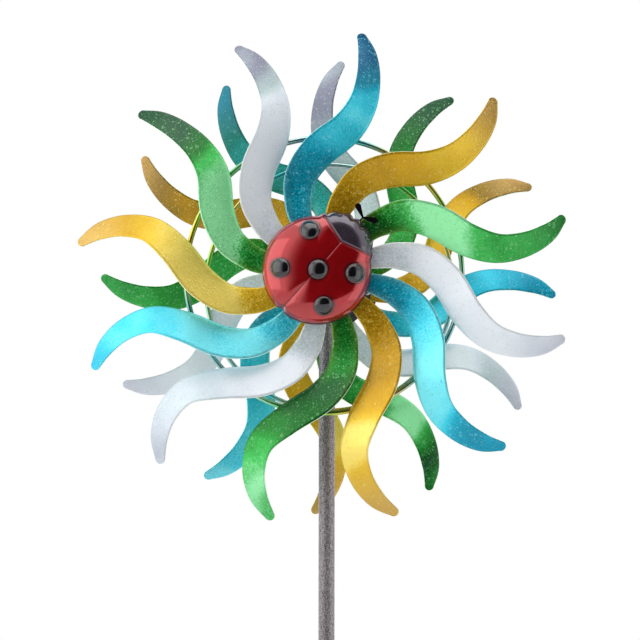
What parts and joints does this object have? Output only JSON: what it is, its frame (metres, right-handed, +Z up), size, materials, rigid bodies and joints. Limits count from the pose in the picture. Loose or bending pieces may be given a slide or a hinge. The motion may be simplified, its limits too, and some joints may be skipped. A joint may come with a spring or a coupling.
{
  "type": "kinetic wind sculpture",
  "caption": "Garden wind spinner: two counter-turning rotors of S-shaped candy-coloured blades on a hammered pole, with a ladybug hub cover and a ground fork.",
  "frame": {"origin": "on the pole's axis at soil level, at the middle of the four ground prongs where they leave the step plate", "axes": "+Z up along the pole, rotor axis along Y with the ladybug side towards -Y, +X to the right seen from the ladybug side"},
  "size_m": [0.4748, 0.1624, 1.7773],
  "materials": {
    "pole_paint": "silver-black hammered enamel",
    "zinc_hardware": "bright zinc plate",
    "plain_steel": "plain drawn steel",
    "dark_hub_paint": "charcoal powder coat",
    "bearing_steel": "ground bearing steel",
    "bearing_seal": "moulded nitrile",
    "rivet_aluminium": "plain aluminium",
    "ring_candy": "glossy candy lacquer blending from teal through gold to green",
    "ladybug_paint": "glossy metallic red enamel with black spots and head",
    "ladybug_black": "glossy black enamel",
    "candy_green": "translucent green candy lacquer with droplet texture",
    "candy_gold": "translucent gold candy lacquer with droplet texture",
    "candy_cyan": "translucent cyan candy lacquer with droplet texture",
    "candy_silver": "pearl silver-white lacquer with fine sparkle"
  },
  "bodies": {
    "stand": {"pole_lower": "pole_paint", "pole_middle": "pole_paint", "pole_upper": "pole_paint", "coupler_lower": "plain_steel", "coupler_upper": "plain_steel", "coupler_screws": "zinc_hardware", "base_socket": "pole_paint", "base_prongs": "pole_paint", "base_screw": "zinc_hardware", "head_tube": "pole_paint", "axle": "zinc_hardware", "jam_nuts": "zinc_hardware", "axle_spacers": "zinc_hardware", "bearing_inner_races": "bearing_steel", "axle_washers": "zinc_hardware", "front_lock_nut": "zinc_hardware", "rear_cap_nut": "zinc_hardware"},
    "front_rotor": {"front_hub_plate": "dark_hub_paint", "front_hub_barrel": "dark_hub_paint", "front_outer_races": "bearing_steel", "front_bearing_balls": "bearing_steel", "front_bearing_seals": "bearing_seal", "front_rivets": "rivet_aluminium", "front_ring": "ring_candy", "front_blade_01": "candy_green", "front_blade_02": "candy_gold", "front_blade_03": "candy_cyan", "front_blade_04": "candy_silver", "front_blade_05": "candy_green", "front_blade_06": "candy_gold", "front_blade_07": "candy_cyan", "front_blade_08": "candy_silver", "front_blade_09": "candy_green", "front_blade_10": "candy_gold", "front_blade_11": "candy_cyan", "front_blade_12": "candy_silver", "ladybug_shell": "ladybug_paint", "ladybug_antennae": "ladybug_black", "ladybug_studs": "zinc_hardware", "ladybug_nuts": "zinc_hardware"},
    "rear_rotor": {"rear_hub_plate": "dark_hub_paint", "rear_hub_barrel": "dark_hub_paint", "rear_outer_races": "bearing_steel", "rear_bearing_balls": "bearing_steel", "rear_bearing_seals": "bearing_seal", "rear_rivets": "rivet_aluminium", "rear_cross_bar": "dark_hub_paint", "rear_ring": "ring_candy", "rear_blade_01": "candy_gold", "rear_blade_02": "candy_green", "rear_blade_03": "candy_silver", "rear_blade_04": "candy_cyan", "rear_blade_05": "candy_gold", "rear_blade_06": "candy_green", "rear_blade_07": "candy_silver", "rear_blade_08": "candy_cyan", "rear_blade_09": "candy_gold", "rear_blade_10": "candy_green", "rear_blade_11": "candy_silver", "rear_blade_12": "candy_cyan"}
  },
  "joints": [
    {"name": "front_spin", "type": "hinge", "parent": "stand", "child": "front_rotor", "pos_m": [0, -0.05, 1.36], "axis": [0, -1, 0], "continuous": true},
    {"name": "rear_spin", "type": "hinge", "parent": "stand", "child": "rear_rotor", "pos_m": [0, 0.05, 1.36], "axis": [0, -1, 0], "continuous": true}
  ]
}
